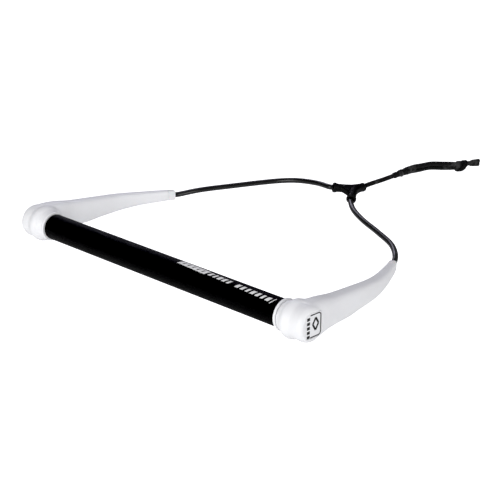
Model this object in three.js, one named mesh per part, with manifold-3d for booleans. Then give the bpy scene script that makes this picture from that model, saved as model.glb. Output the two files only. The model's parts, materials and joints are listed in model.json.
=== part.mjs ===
// Tow rope handle: a gripped bar, two moulded end arms, a rope bridle, a rubber yoke and a tow loop.
// Millimetres. +X runs along the bar, +Y towards the boat, +Z up, square to the flat bridle.
// The shapes are drawn from the centre of the bar, and the finished group is then moved along Y,
// so that the origin is the centre of the whole object's box.
import * as THREE from 'three';
import { mergeVertices } from 'three/addons/utils/BufferGeometryUtils.js';
import Module from 'manifold-3d';

const wasm = await Module();
wasm.setup();

// ---------- driving dimensions ----------
const BAR_Y = -260.7; // where the bar's axis sits from the origin
const FIT = 0.3; // gap left between neighbouring pieces
const TUBE = { length: 381, outer: 11, wall: 1.8 };
const GRIP = { half: 174.8, outer: 14.3 };
const COLLAR = { width: 2.8, outer: 16.4 };
const HEAD = { start: 178.6, radius: 21.2, drum: 19.6, face: 213, flatness: 0.95 }; // flatness is along Z
const CAP = { seat: 200.6, halfWidth: 10.6, halfHeight: 12.4, corner: 3, bevel: 0.6 };
const PLUG = { inner: 166, outer: 189.5 };
const ROPE = 1.9; // radius of the bare bridle rope
const SLEEVE = { outer: 3.15, bore: 2.2 };
const CHANNEL = 2.4; // radius of the rope's channel through plug, head and arm
const TIP = new THREE.Vector3(166.6, 174.9, -0.8); // centre of the right arm's end face
const FERRULE_LENGTH = 9;
const TIP_HINGE_GAP = 3.3; // from the arm's end face to the point where the bridle leg bends
const YOKE = { centre: [-3.6, 314, 10.9], roll: 15, yaw: -3.2, portSpread: 15.5, portBack: 20.5, nose: 17.3 };
const YOKE_TUBE = { radius: 4.7, lip: 5.2, lipLength: 3, bore: 3.2, noseRadius: 4.6, noseBore: 2.8 };
const PORT_HINGE_GAP = 3.4;
const LINE = 2.35; // radius of the braided tow line
const LINE_GAP = 0.4; // gap between two line segments at a bend point
const SPLICE = { radius: 4.3, length: 37 };
const STRAND_OFFSET = 2.9; // half the height between the two strands of the tow loop
const STRAND_GAP = 3; // room at the loop's middle bend, where the two strands slide past each other
const KNOT = { radius: 8.2, length: 20 };
const TAIL = { halfWidth: 2.6, halfHeight: 4 };

// Centre line of the right arm (x, y) from its root in the head to its tip, and its half sizes there.
const ARM_LINE = [[201, 2], [199.8, 26], [196.6, 70], [191, 115], [173.2, 162], [TIP.x, TIP.y]];
const ARM_HALF_HEIGHT = [[0, 20], [0.11, 19.2], [0.25, 14.4], [0.45, 11.4], [0.75, 7.4], [1, 5.9]];
const ARM_HALF_WIDTH = [[0, 11.4], [0.12, 12], [0.2, 10], [0.3, 9.4], [0.45, 8.5], [0.75, 6.5], [1, 4.3]];
const ARM_SQUARENESS = 2.9;

// Bridle legs between their bend points, outermost first.
const LEG_PATH = {
  left: [[-156, 206, 0.4], [-132, 236, 4.2], [-94, 280, 9.5], [-74, 291, 12], [-46, 295.5, 14]],
  right: [[151, 199, -1], [128, 221, 0], [95, 238, 1.8], [60, 254, 3.6], [31, 272, 5]],
};

// Bend points of the tow line after the yoke, in order, then the knot's middle and the tail's end.
const BENDS = [[-2.3, 334.6, 11.9], [-2.6, 368, 12], [-6, 428, 11.3], [-2.2, 461, 9.8]];
const KNOT_CENTRE = [10, 510, 1.8];
const TAIL_END = [16, 542, 1];

// ---------- materials ----------
const finish = (color, roughness, metalness = 0) =>
  new THREE.MeshStandardMaterial({ color, roughness, metalness });
const whiteRubber = () => finish(0xe6e6ea, 0.45);
const gripRubber = () => finish(0x0c0c0e, 0.75);
const alloy = () => finish(0xb4b6ba, 0.35, 0.9);
const nylon = () => finish(0xd8d8d4, 0.5);
const coreRope = () => finish(0x2c2c30, 0.9);
const tubing = () => finish(0x101012, 0.25);
const yokeRubber = () => finish(0x17171a, 0.6);
const braid = () => finish(0x0e0e10, 0.85);

// ---------- small helpers ----------
const SIDES = [['left', -1], ['right', 1]];
const part = new THREE.Group();
const vec = (p) => new THREE.Vector3(...p);
const mirrored = (p, side) => new THREE.Vector3(p.x * side, p.y, p.z);

function addPiece(name, geometry, material, parent = part) {
  const mesh = new THREE.Mesh(geometry, material);
  mesh.name = name;
  parent.add(mesh);
  return mesh;
}

// Merges a closed geometry's vertices and turns its faces outward.
function closed(geometry) {
  const bare = new THREE.BufferGeometry();
  bare.setAttribute('position', geometry.getAttribute('position').clone());
  if (geometry.index) bare.setIndex(Array.from(geometry.index.array));
  const merged = mergeVertices(bare, 1e-4);
  const p = merged.getAttribute('position');
  const index = Array.from(merged.index.array);
  const kept = [];
  let volume = 0;
  const [a, b, c] = [new THREE.Vector3(), new THREE.Vector3(), new THREE.Vector3()];
  for (let i = 0; i < index.length; i += 3) {
    const [ia, ib, ic] = index.slice(i, i + 3);
    if (ia === ib || ib === ic || ia === ic) continue;
    kept.push([ia, ib, ic]);
    a.fromBufferAttribute(p, ia);
    b.fromBufferAttribute(p, ib);
    c.fromBufferAttribute(p, ic);
    volume += a.dot(b.cross(c));
  }
  merged.setIndex(kept.flatMap(([i, j, k]) => (volume < 0 ? [i, k, j] : [i, j, k])));
  return merged;
}

function solid(geometry) {
  const g = closed(geometry);
  const vertProperties = new Float32Array(g.getAttribute('position').array);
  const triVerts = new Uint32Array(g.index.array);
  return new wasm.Manifold(new wasm.Mesh({ numProp: 3, vertProperties, triVerts }));
}

function geometryOf(manifold) {
  const mesh = manifold.getMesh();
  const g = new THREE.BufferGeometry();
  g.setAttribute('position', new THREE.BufferAttribute(new Float32Array(mesh.vertProperties), 3));
  g.setIndex(Array.from(mesh.triVerts));
  return g;
}

const union = (...geometries) => geometries.map(solid).reduce((all, next) => all.add(next));
const cut = (body, ...tools) => tools.reduce((rest, tool) => rest.subtract(tool), body);

// A solid turned about the X axis from [x, radius] points. The profile starts and ends on the axis.
function turnedAboutX(profile, segments = 24) {
  const g = new THREE.LatheGeometry(profile.map(([x, r]) => new THREE.Vector2(r, x)), segments);
  g.rotateZ(-Math.PI / 2);
  return g;
}

function rodAboutX(x0, x1, radius, segments = 24) {
  return turnedAboutX([[x0, 0], [x0, radius], [x1, radius], [x1, 0]], segments);
}

function tubeAboutX(x0, x1, outer, inner, segments = 24) {
  return turnedAboutX([[x0, inner], [x0, outer], [x1, outer], [x1, inner], [x0, inner]], segments);
}

const smooth = (points) => new THREE.CatmullRomCurve3(points, false, 'centripetal');

// Points evenly spaced along a smooth curve through the given points.
const spaced = (points, steps) => smooth(points).getSpacedPoints(steps);

// A solid that follows a row of points. outline(u, i) is its outline at the fraction u of the way, at
// point i, and it stays upright, so a flattened one keeps its height along Z.
function sweep(points, outline) {
  const last = points.length - 1;
  const rings = points.map((centre, i) => {
    const along = points[Math.min(i + 1, last)].clone().sub(points[Math.max(i - 1, 0)]).normalize();
    const across = new THREE.Vector3(along.y, -along.x, 0).normalize();
    const up = new THREE.Vector3().crossVectors(across, along).normalize();
    const place = ([s, t]) => centre.clone().addScaledVector(across, s).addScaledVector(up, t);
    return outline(i / last, i).map(place);
  });
  return skinned(rings);
}

// Joins rings of equal point counts with side faces, and closes both ends with fans.
function skinned(rings) {
  const n = rings[0].length;
  const points = rings.flat();
  const index = [];
  for (let i = 0; i + 1 < rings.length; i += 1) {
    for (let j = 0; j < n; j += 1) {
      const [a, b] = [i * n + j, i * n + ((j + 1) % n)];
      index.push(a, b, a + n, b, b + n, a + n);
    }
  }
  const closeEnd = (first, flip) => {
    const hub = points.length;
    const middle = new THREE.Vector3();
    for (let j = 0; j < n; j += 1) middle.addScaledVector(points[first + j], 1 / n);
    points.push(middle);
    for (let j = 0; j < n; j += 1) {
      const [a, b] = [first + j, first + ((j + 1) % n)];
      index.push(...(flip ? [hub, a, b] : [hub, b, a]));
    }
  };
  closeEnd(0, false);
  closeEnd((rings.length - 1) * n, true);
  const g = new THREE.BufferGeometry();
  g.setAttribute('position', new THREE.Float32BufferAttribute(points.flatMap((p) => p.toArray()), 3));
  g.setIndex(index);
  return g;
}

function superellipse(width, height, power, count) {
  return Array.from({ length: count }, (_, k) => {
    const angle = (2 * Math.PI * (k + 0.5)) / count;
    const bend = (v) => Math.sign(v) * Math.abs(v) ** (2 / power);
    return [width * bend(Math.cos(angle)), height * bend(Math.sin(angle))];
  });
}

const circle = (radius, count) => superellipse(radius, radius, 2, count);
const rope = (points, radius, count = 8) => sweep(points, () => circle(radius, count));

// Reads a value from [fraction, value] pairs, straight between them.
function tableAt(table, u) {
  const next = Math.max(1, table.findIndex(([at]) => at >= u));
  const [[u0, v0], [u1, v1]] = [table[next - 1], table[next]];
  return v0 + ((v1 - v0) * (u - u0)) / (u1 - u0);
}

// A rope length whose ends are half balls centred on its end points, where it can bend freely.
function roundEnded(points, radius, count = 8) {
  const steps = [80, 50, 25].map(THREE.MathUtils.degToRad);
  const cap = (end, inner) => {
    const out = end.clone().sub(inner).normalize();
    return steps.map((angle) => end.clone().addScaledVector(out, radius * Math.sin(angle)));
  };
  const all = [...cap(points[0], points[1]), ...points, ...cap(points.at(-1), points.at(-2)).reverse()];
  const shrink = (i) => Math.cos(steps[Math.min(i, all.length - 1 - i)] ?? 0);
  return closed(sweep(all, (u, i) => circle(radius * shrink(i), count)));
}

// ---------- arm shape, shared by the moulding, its ferrule and the rope channel ----------
const ARM_STEPS = 20;
const armLine = (side) => smooth(ARM_LINE.map(([x, y], i) => {
  const droop = TIP.z * (i / (ARM_LINE.length - 1)) ** 2;
  return new THREE.Vector3(x * side, y, droop);
}));

const armSection = (u) =>
  superellipse(tableAt(ARM_HALF_WIDTH, u), tableAt(ARM_HALF_HEIGHT, u), ARM_SQUARENESS, 14);

const ferruleAt = 1 - FERRULE_LENGTH / armLine(1).getLength();

// A block that covers everything beyond a point of the arm, from a set distance past that point.
function beyondArm(side, u, distance) {
  const place = armLine(side).getPointAt(u);
  const outward = armLine(side).getTangentAt(u);
  const size = 60;
  const block = new THREE.BoxGeometry(size, size, size);
  block.translate(0, size / 2 + distance, 0);
  block.rotateZ(Math.atan2(outward.y, outward.x) - Math.PI / 2);
  block.translate(place.x, place.y, place.z);
  return solid(block);
}

// The bridle rope's way from inside the bar, round the bend in the head and out along the arm.
const ROPE_IN_HEAD = [[176, 0, 0], [188, 0, 0], [194, 2.5, 0], [196.4, 10, 0], [197, 22, 0], [197.5, 45, 0]];
const ROPE_ALONG_ARM = [0.45, 0.62, 0.8, 0.93, 1];
const ROPE_STEPS = 26;
function innerRopePoints(side) {
  const inHead = ROPE_IN_HEAD.map((p) => mirrored(vec(p), side));
  const inArm = ROPE_ALONG_ARM.map((u) => armLine(side).getPointAt(u));
  return spaced([...inHead, ...inArm], ROPE_STEPS);
}
const channelTool = (side) => {
  const points = innerRopePoints(side);
  const past = points.at(-1).clone().sub(points.at(-2)).normalize().add(points.at(-1));
  return solid(rope([...points, past], CHANNEL));
};

// ---------- bar ----------
const tubeHalf = TUBE.length / 2;
const tubeInner = TUBE.outer - TUBE.wall;
addPiece('bar_tube', closed(tubeAboutX(-tubeHalf, tubeHalf, TUBE.outer, tubeInner)), alloy());
const grip = tubeAboutX(-GRIP.half, GRIP.half, GRIP.outer, TUBE.outer + FIT);
addPiece('grip_sleeve', closed(grip), gripRubber());

const COLLAR_START = GRIP.half + FIT;
const COLLAR_PROFILE = [
  [COLLAR_START, TUBE.outer + FIT],
  [COLLAR_START, COLLAR.outer - 0.8],
  [COLLAR_START + 0.8, COLLAR.outer],
  [COLLAR_START + COLLAR.width, COLLAR.outer],
  [COLLAR_START + COLLAR.width, TUBE.outer + FIT],
  [COLLAR_START, TUBE.outer + FIT],
];

const PLUG_PROFILE = [
  [PLUG.inner, 0],
  [PLUG.inner, tubeInner - FIT - 1],
  [PLUG.inner + 1, tubeInner - FIT],
  [PLUG.outer, tubeInner - FIT],
  [PLUG.outer, 0],
];

// Mirrors a right-hand shape to its own side.
function sided(geometry, side) {
  geometry.scale(side, 1, 1);
  return closed(geometry);
}

for (const [name, side] of SIDES) {
  addPiece(`grip_collar_${name}`, sided(turnedAboutX(COLLAR_PROFILE), side), whiteRubber());
  const hole = rodAboutX(PLUG.inner - 2, PLUG.outer + 2, CHANNEL, 8);
  const plug = cut(solid(turnedAboutX(PLUG_PROFILE, 16)), solid(hole), channelTool(1));
  addPiece(`bar_plug_${name}`, sided(geometryOf(plug), side), gripRubber());
}

// ---------- moulded arms, ferrules and end caps ----------
const HEAD_PROFILE = [
  [HEAD.start, 0],
  [HEAD.start, 15.6],
  [180.6, 15.4],
  [182.2, 17.2],
  [184.6, 19.6],
  [187.6, 20.9],
  [190.6, HEAD.radius],
  [194, 20.8],
  [198.5, HEAD.drum - 0.2],
  [203, HEAD.drum],
  [208.5, HEAD.drum - 0.4],
  [211.5, HEAD.drum - 2],
  [HEAD.face, HEAD.drum - 4.4],
  [HEAD.face, 0],
];

// The end cap's rounded outline (y, z), made smaller all round by inset.
function capOutline(inset) {
  const r = CAP.corner - inset;
  const [y, z] = [CAP.halfWidth - CAP.corner, CAP.halfHeight - CAP.corner];
  const shape = new THREE.Shape();
  shape.moveTo(-y, -z - r);
  shape.absarc(y, -z, r, -Math.PI / 2, 0);
  shape.absarc(y, z, r, 0, Math.PI / 2);
  shape.absarc(-y, z, r, Math.PI / 2, Math.PI);
  shape.absarc(-y, -z, r, Math.PI, 1.5 * Math.PI);
  return shape;
}

// The plug inside that outline, from x0 to x1, with its edges bevelled.
function capPlug(x0, x1, inset, bevel) {
  const plug = new THREE.ExtrudeGeometry(capOutline(inset + bevel), {
    depth: x1 - x0 - 2 * bevel,
    bevelEnabled: bevel > 0,
    bevelThickness: bevel,
    bevelSize: bevel,
    bevelSegments: 1,
    curveSegments: 4,
  });
  plug.translate(0, 0, bevel);
  const axes = [new THREE.Vector3(0, 1, 0), new THREE.Vector3(0, 0, 1), new THREE.Vector3(1, 0, 0)];
  plug.applyMatrix4(new THREE.Matrix4().makeBasis(...axes));
  plug.translate(x0, 0, 0);
  return plug;
}

for (const [name, side] of SIDES) {
  const head = sided(turnedAboutX(HEAD_PROFILE).scale(1, 1, HEAD.flatness), side);
  const arm = sweep(armLine(side).getSpacedPoints(ARM_STEPS), armSection);
  const tubeSeat = rodAboutX(side * (HEAD.start - 1), side * (tubeHalf + FIT), TUBE.outer + FIT);
  const capPocket = sided(capPlug(CAP.seat, HEAD.face + 12, -FIT, 0), side);
  const channel = channelTool(side);
  const pockets = [solid(tubeSeat), solid(capPocket), beyondArm(side, ferruleAt, -FIT), channel];
  const moulding = cut(union(head, arm), ...pockets);
  addPiece(`arm_${name}`, geometryOf(moulding), whiteRubber());

  const ferrule = cut(solid(arm).intersect(beyondArm(side, ferruleAt, 0)), channel);
  addPiece(`tip_ferrule_${name}`, geometryOf(ferrule), nylon());

  const cap = capPlug(CAP.seat + FIT, HEAD.face, 0, CAP.bevel);
  addPiece(`end_cap_${name}`, sided(cap, side), whiteRubber());
}

// One length of bridle rope lies inside the handle, from arm tip to arm tip through the bar.
const ropeInBar = [...innerRopePoints(-1).reverse(), ...innerRopePoints(1)];
addPiece('bridle_rope_in_bar', closed(rope(ropeInBar, ROPE)), coreRope());

// ---------- bend points of the bridle ----------
const tipHinge = armLine(1).getTangentAt(1).multiplyScalar(TIP_HINGE_GAP).add(TIP);
const yokeFrame = new THREE.Group();
yokeFrame.position.set(...YOKE.centre);
const [roll, yaw] = [YOKE.roll, YOKE.yaw].map(THREE.MathUtils.degToRad);
yokeFrame.rotation.set(0, roll, yaw, 'ZYX');
yokeFrame.updateMatrix();
part.add(yokeFrame);

const portMouth = (side) => new THREE.Vector3(side * YOKE.portSpread, -YOKE.portBack, 0);
const alongPort = (side, distance) =>
  portMouth(side).addScaledVector(portMouth(side).normalize(), distance);
const portHinge = (side) => alongPort(side, PORT_HINGE_GAP).applyMatrix4(yokeFrame.matrix);

// ---------- bridle legs: a rope inside a smooth sleeve that stops short of both bend points ----------
const LEG_STEPS = 22;
for (const [name, side] of SIDES) {
  const points = [mirrored(tipHinge, side), ...LEG_PATH[name].map(vec), portHinge(side)];
  const line = spaced(points, LEG_STEPS);
  const sleeve = cut(solid(rope(line.slice(1, -1), SLEEVE.outer)), solid(rope(line, SLEEVE.bore)));
  addPiece(`leg_rope_${name}`, roundEnded(line, ROPE), coreRope());
  addPiece(`leg_sleeve_${name}`, geometryOf(sleeve), tubing());
}

// ---------- yoke: two leg ports and a nose, joined by a web ----------
const ORIGIN = new THREE.Vector3();
const onNose = (y) => new THREE.Vector3(0, y, 0);

// A straight round solid from a to b whose radius runs through the given list.
function tapered(a, b, radii, count = 14) {
  const last = radii.length - 1;
  const points = radii.map((_, i) => a.clone().lerp(b, i / last));
  return sweep(points, (u, i) => circle(radii[i], count));
}

function yokeWeb() {
  const [x, y] = [0.8 * YOKE.portSpread, -0.86 * YOKE.portBack];
  const front = 0.7 * YOKE.nose;
  const web = new THREE.Shape();
  web.moveTo(-x, y);
  web.quadraticCurveTo(0, y / 2, x, y);
  web.lineTo(3, front);
  web.lineTo(-3, front);
  const plate = new THREE.ExtrudeGeometry(web, { depth: 6, bevelEnabled: false, curveSegments: 6 });
  plate.translate(0, 0, -3);
  return plate;
}

const { radius, lip, lipLength, bore, noseRadius, noseBore } = YOKE_TUBE;
const ports = SIDES.map(([, side]) => tapered(ORIGIN, portMouth(side), [radius, radius]));
const lips = SIDES.map(([, side]) => tapered(alongPort(side, -lipLength), portMouth(side), [lip, lip]));
const portBores = SIDES.map(([, side]) => solid(tapered(ORIGIN, alongPort(side, 2), [bore, bore])));
const nose = tapered(onNose(-2), onNose(YOKE.nose), [lip, lip, noseRadius]);
const noseHole = solid(tapered(ORIGIN, onNose(YOKE.nose + 2), [noseBore, noseBore]));
const yoke = cut(union(...ports, ...lips, nose, yokeWeb()), ...portBores, noseHole);
addPiece('yoke_body', geometryOf(yoke), yokeRubber(), yokeFrame);

// The two legs and the tow line meet in one splice inside the yoke.
const legEnds = SIDES.map(([, side]) => tapered(ORIGIN, alongPort(side, -1), [ROPE + 0.6, ROPE + 0.6], 10));
const lineEnd = tapered(ORIGIN, onNose(YOKE.nose - 0.6), [LINE, LINE], 10);
addPiece('yoke_rope_splice', geometryOf(union(...legEnds, lineEnd)), coreRope(), yokeFrame);

// ---------- tow line ----------
const bends = BENDS.map(vec);
const knotCentre = vec(KNOT_CENTRE);
const tailEnd = vec(TAIL_END);
const towards = (a, b, distance) => a.clone().lerp(b, distance / a.distanceTo(b));
const beforeBend = (i, gap) => towards(bends[i], bends[i - 1], gap);

const root = [bends[0], beforeBend(1, 2 * LINE + LINE_GAP)];
addPiece('tow_line_root', roundEnded(root, LINE), braid());

const spliceEnd = beforeBend(2, LINE + LINE_GAP);
const spliceStart = beforeBend(2, LINE + LINE_GAP + SPLICE.length);
const lead = [bends[1], towards(spliceStart, bends[1], LINE + LINE_GAP)];
addPiece('tow_line', roundEnded(lead, LINE), braid());
const spliceRadii = [LINE + 0.5, SPLICE.radius, SPLICE.radius, SPLICE.radius, LINE + 1.4];
addPiece('line_splice', closed(tapered(spliceStart, spliceEnd, spliceRadii, 12)), braid());

const STRANDS = [['lower', -1], ['upper', 1]];
const knotStart = towards(knotCentre, bends[3], KNOT.length / 2);
const knotEnd = towards(knotCentre, tailEnd, KNOT.length / 2);
for (const [name, level] of STRANDS) {
  const raised = (p) => new THREE.Vector3(p.x, p.y, p.z + level * STRAND_OFFSET);
  const front = [raised(bends[2]), raised(beforeBend(3, 2 * LINE + STRAND_GAP))];
  const back = [raised(bends[3]), raised(towards(knotStart, bends[3], LINE + LINE_GAP))];
  addPiece(`loop_strand_${name}_front`, roundEnded(front, LINE), braid());
  addPiece(`loop_strand_${name}_back`, roundEnded(back, LINE), braid());
}

const knotRadii = [5.6, KNOT.radius - 0.6, KNOT.radius, KNOT.radius - 0.6, 4.6];
addPiece('tow_knot', closed(tapered(knotStart, knotEnd, knotRadii)), braid());
const tailStart = towards(knotEnd, tailEnd, LINE_GAP);
const tailOutline = () => superellipse(TAIL.halfWidth, TAIL.halfHeight, 2.6, 12);
addPiece('tow_tail', closed(sweep([tailStart, tailEnd], tailOutline)), braid());

part.position.y = BAR_Y;
export default part;
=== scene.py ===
"""Looks for a tow rope handle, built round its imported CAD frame. Metres, +X along the bar, +Z up."""
import json
import math

import bmesh
import bpy
import numpy as np
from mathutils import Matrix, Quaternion, Vector

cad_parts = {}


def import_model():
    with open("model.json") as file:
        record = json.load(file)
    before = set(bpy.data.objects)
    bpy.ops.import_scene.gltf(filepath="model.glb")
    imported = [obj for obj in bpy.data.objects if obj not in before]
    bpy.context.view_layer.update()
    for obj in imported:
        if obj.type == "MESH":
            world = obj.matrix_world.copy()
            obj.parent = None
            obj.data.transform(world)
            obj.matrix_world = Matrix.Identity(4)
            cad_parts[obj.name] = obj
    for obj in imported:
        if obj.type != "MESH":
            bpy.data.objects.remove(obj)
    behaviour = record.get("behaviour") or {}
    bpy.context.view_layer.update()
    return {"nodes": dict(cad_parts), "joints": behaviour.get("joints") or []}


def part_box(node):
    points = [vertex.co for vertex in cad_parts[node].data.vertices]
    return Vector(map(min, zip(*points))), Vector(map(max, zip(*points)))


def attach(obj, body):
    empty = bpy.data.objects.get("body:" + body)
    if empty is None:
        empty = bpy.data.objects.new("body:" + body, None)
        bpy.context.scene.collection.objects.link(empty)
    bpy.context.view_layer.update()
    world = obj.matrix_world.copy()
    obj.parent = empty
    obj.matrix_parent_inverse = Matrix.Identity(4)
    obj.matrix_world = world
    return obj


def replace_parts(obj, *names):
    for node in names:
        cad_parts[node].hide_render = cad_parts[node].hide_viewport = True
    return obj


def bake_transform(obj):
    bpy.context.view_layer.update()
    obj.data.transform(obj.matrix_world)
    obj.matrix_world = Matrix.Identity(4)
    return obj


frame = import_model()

# ---------- places taken from the frame ----------
MM = 0.001
JOINTS = {joint["name"]: joint for joint in frame["joints"]}
SIDES = (("left", -1), ("right", 1))


def middle(node):
    low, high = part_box(node)
    return np.array((low + high) / 2)


BAR = middle("bar_tube")  # shapes below are in mm from the bar's centre


def world(points):
    return BAR + np.asarray(points, float) * MM


def local(point):
    return (np.asarray(point, float) - BAR) / MM


def pivot(name):
    return local(JOINTS[name]["pos_m"])


def size(node):
    low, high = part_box(node)
    return np.array(high - low) / MM


GRIP_RADIUS = size("grip_sleeve")[2] / 2
GRIP_HALF = size("grip_sleeve")[0] / 2
COLLAR_RADIUS = size("grip_collar_right")[2] / 2
HEAD_FACE = local(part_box("end_cap_right")[1])[0]
CAP_HALF = size("end_cap_right")[1:] / 2
TUBE_RADIUS = size("bar_tube")[2] / 2
TUBE_HALF = size("bar_tube")[0] / 2

TIP_PIVOT = {"left": pivot("bridle_swing"), "right": pivot("right_leg_swing")}
LINE_BENDS = [pivot(name) for name in ("line_yaw", "line_pitch", "loop_yaw", "loop_pitch")]

# The yoke's own axes: across from port to port, forward to the nose, and its upper face.
PORT_SPAN = 35.1  # from the left port's joint to where the right leg meets its port
PORT_PIVOT_BACK = 23.21  # how far behind the yoke's centre the two lie
yoke_across = np.array(JOINTS["yoke_tilt"]["axis"], float)
PORT_PIVOT = {"left": pivot("yoke_tilt"), "right": pivot("yoke_tilt") + PORT_SPAN * yoke_across}
between_ports = (PORT_PIVOT["left"] + PORT_PIVOT["right"]) / 2
yoke_forward = np.array([-yoke_across[1], yoke_across[0], 0])
yoke_forward /= np.linalg.norm(yoke_forward)
yoke_up = np.cross(yoke_across, yoke_forward)
yoke_centre = between_ports + PORT_PIVOT_BACK * yoke_forward


def in_yoke(points):
    """Points given in the yoke's own axes."""
    return yoke_centre + np.asarray(points, float) @ np.array([yoke_across, yoke_forward, yoke_up])


# ---------- shapes: paths, rings and lofts ----------
def resample(path, count):
    """The path again, as count points evenly spaced along it."""
    lengths = np.linalg.norm(np.diff(path, axis=0), axis=1)
    along = np.concatenate([[0], np.cumsum(lengths)])
    at = np.linspace(0, along[-1], count)
    return np.stack([np.interp(at, along, path[:, k]) for k in range(path.shape[1])], axis=1)


def curve(points, step):
    """Points about step apart along a centripetal Catmull-Rom curve through the given points."""
    p = np.asarray(points, float)
    p = np.vstack([2 * p[0] - p[1], p, 2 * p[-1] - p[-2]])
    t = np.linspace(0, 1, 40, endpoint=False)[:, None]
    parts = []
    for p0, p1, p2, p3 in zip(p, p[1:], p[2:], p[3:]):
        a, b, c = (np.linalg.norm(q - r) ** 0.5 for q, r in ((p1, p0), (p2, p1), (p3, p2)))
        start = ((p1 - p0) / a - (p2 - p0) / (a + b) + (p2 - p1) / b) * b
        finish = ((p2 - p1) / b - (p3 - p1) / (b + c) + (p3 - p2) / c) * b
        parts.append((2 * t**3 - 3 * t**2 + 1) * p1 + (t**3 - 2 * t**2 + t) * start
                     + (3 * t**2 - 2 * t**3) * p2 + (t**3 - t**2) * finish)
    dense = np.vstack([*parts, p[-2]])
    length = np.linalg.norm(np.diff(dense, axis=0), axis=1).sum()
    return resample(dense, max(3, int(round(length / step)) + 1))


def unit(v):
    """The vector, or each row of them, at length 1."""
    return v / np.linalg.norm(v, axis=-1, keepdims=True)


def upright_frames(path):
    """Side and up directions at each point, with up kept as near to +Z as the path allows."""
    along = unit(np.gradient(path, axis=0))
    side = unit(np.stack([along[:, 1], -along[:, 0], np.zeros(len(path))], axis=1))
    return side, np.cross(side, along)


def carried_frames(path):
    """Side and up directions carried along the path without twisting, for paths that turn over."""
    along = unit(np.gradient(path, axis=0))
    side = [unit(np.cross(along[0], [0.1, 0.2, 1.0]))]
    for t in along[1:]:
        side.append(unit(side[-1] - t * np.dot(side[-1], t)))
    side = np.array(side)
    return side, np.cross(side, along)


def rings_along(path, outlines, frames=upright_frames):
    """Outlines (each a row of side, up pairs) placed at the path's points."""
    side, up = frames(path)
    outlines = np.asarray(outlines, float)
    return (path[:, None] + outlines[..., :1] * side[:, None] + outlines[..., 1:] * up[:, None])


def round_angles(count):
    return (np.arange(count) + 0.5) * 2 * math.pi / count


def circles(radii, count):
    """One round outline for each radius. A radius may also be a row with a value for each angle."""
    angle = round_angles(count)
    radii = np.asarray(radii, float)
    radii = radii[:, None] if radii.ndim == 1 else radii
    return np.stack([radii * np.cos(angle), radii * np.sin(angle)], axis=-1)


def superellipses(widths, heights, power, count):
    """Outlines between an ellipse (power 2) and a box (high power), from half widths and heights."""
    angle = round_angles(count)
    bend = lambda v: np.sign(v) * np.abs(v) ** (2 / power)
    widths, heights = np.asarray(widths)[:, None], np.asarray(heights)[:, None]
    return np.stack([widths * bend(np.cos(angle)), heights * bend(np.sin(angle))], axis=-1)


def rounded_box(half_width, half_height, corner, count=8):
    """The outline of a box with round corners, anticlockwise from its right side."""
    turns = np.linspace(0, math.pi / 2, count)
    parts = []
    for k, (sx, sy) in enumerate(((1, 1), (-1, 1), (-1, -1), (1, -1))):
        angle = turns + k * math.pi / 2
        hub = np.array([sx * (half_width - corner), sy * (half_height - corner)])
        parts.append(hub + corner * np.stack([np.cos(angle), np.sin(angle)], axis=1))
    return np.vstack(parts)


def loft_mesh(name, rings, closed=False):
    """A closed mesh through rings of points, in mm from the bar's centre, with u in mm along it.
    Its ends are closed with fans, or with closed=True its last ring joins its first."""
    rings = np.asarray(rings, float)
    n, m = rings.shape[:2]
    rows = n if closed else n - 1
    i, j = (a.ravel() for a in np.meshgrid(np.arange(rows), np.arange(m), indexing="ij"))
    after, beside = (i + 1) % n, (j + 1) % m
    quads = np.stack([i * m + j, after * m + j, after * m + beside, i * m + beside], axis=1)
    steps = np.linalg.norm(np.diff(rings.mean(axis=1), axis=0), axis=1)
    along = np.concatenate([[0], np.cumsum(steps)])
    u = np.stack([along[i], along[after], along[after], along[i]], axis=1)
    v = np.stack([j, j, j + 1, j + 1], axis=1) / m
    points = rings.reshape(-1, 3)
    faces = quads.tolist()
    uv = np.stack([u, v], axis=-1).reshape(-1, 2)
    if not closed:
        hubs = rings[[0, -1]].mean(axis=1)
        k = np.arange(m)
        first = np.stack([np.full(m, n * m), k, (k + 1) % m], axis=1)
        last = np.stack([np.full(m, n * m + 1), (n - 1) * m + (k + 1) % m, (n - 1) * m + k], axis=1)
        points = np.vstack([points, hubs])
        faces += first.tolist() + last.tolist()
        ends = np.repeat([[0, 0], [along[-1], 0]], 3 * m, axis=0)
        uv = np.vstack([uv, ends])
    mesh = bpy.data.meshes.new(name)
    mesh.from_pydata(world(points).tolist(), [], faces)
    mesh.uv_layers.new(name="along").data.foreach_set("uv", uv.astype(np.float32).ravel())
    return mesh


def turned_rings(profile, count, side=1):
    """Rings of a shape turned about the bar's axis, from its (x, radius) profile."""
    x, r = np.asarray(profile, float).T
    angle = round_angles(count)
    y, z = -np.outer(r, np.cos(angle)), np.outer(r, np.sin(angle))
    rings = np.stack([np.broadcast_to(x[:, None], y.shape), y, z], axis=-1)
    return mirrored(rings, side)


def mirrored(rings, side):
    """The rings, or their mirror image on the left side with its faces still pointing out."""
    return rings if side > 0 else (rings * [-1, 1, 1])[:, ::-1]


def filleted(profile, radius, steps=4):
    """A profile whose inner corners are rounded by quadratic arcs of about the given radius."""
    p = np.asarray(profile, float)
    out = [p[0]]
    t = np.linspace(0, 1, steps + 1)[:, None]
    for before, corner, after in zip(p, p[1:], p[2:]):
        reach = [min(radius, np.linalg.norm(q - corner) * 0.45) for q in (before, after)]
        a = corner + unit(before - corner) * reach[0]
        b = corner + unit(after - corner) * reach[1]
        out.extend((1 - t) ** 2 * a + 2 * t * (1 - t) * corner + t**2 * b)
    out.append(p[-1])
    return np.array(out)


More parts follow.
